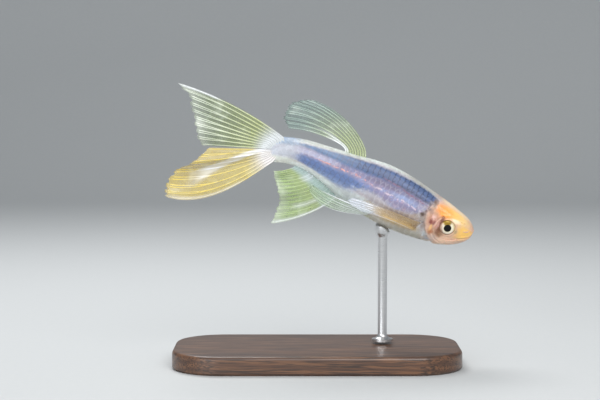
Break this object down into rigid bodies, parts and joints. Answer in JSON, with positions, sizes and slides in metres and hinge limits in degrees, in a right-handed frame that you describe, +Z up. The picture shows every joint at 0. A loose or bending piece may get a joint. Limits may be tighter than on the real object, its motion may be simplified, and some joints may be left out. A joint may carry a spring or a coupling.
{
  "type": "zebra danio",
  "caption": "Long-finned zebra danio, a small striped aquarium fish, as a life-size still model swimming nose down on a plain display stand.",
  "frame": {"origin": "centre of the underside of the stand's base", "axes": "+X along the length of the stand, the way the fish swims; +Z up; the fish's right flank faces -Y"},
  "size_m": [0.0497, 0.024, 0.0455],
  "materials": {
    "head_skin": "satin, yellow to orange",
    "flank_skin": "satin, blue and lavender bands",
    "stalk_skin": "satin, pale lilac",
    "fin_skin": "thin and translucent",
    "iris": "clear and glossy",
    "wood": "dark walnut, satin varnish",
    "steel": "brushed"
  },
  "bodies": {
    "root": {"head": "head_skin", "trunk": "flank_skin", "tail_stalk": "stalk_skin", "eye_right": "iris", "eye_left": "iris", "dorsal_fin": "fin_skin", "anal_fin": "fin_skin", "tail_fin_upper": "fin_skin", "tail_fin_lower": "fin_skin", "pectoral_fin_right": "fin_skin", "pectoral_fin_left": "fin_skin", "pelvic_fin_right": "fin_skin", "pelvic_fin_left": "fin_skin", "stand_base": "wood", "stand_rod": "steel"}
  },
  "joints": []
}
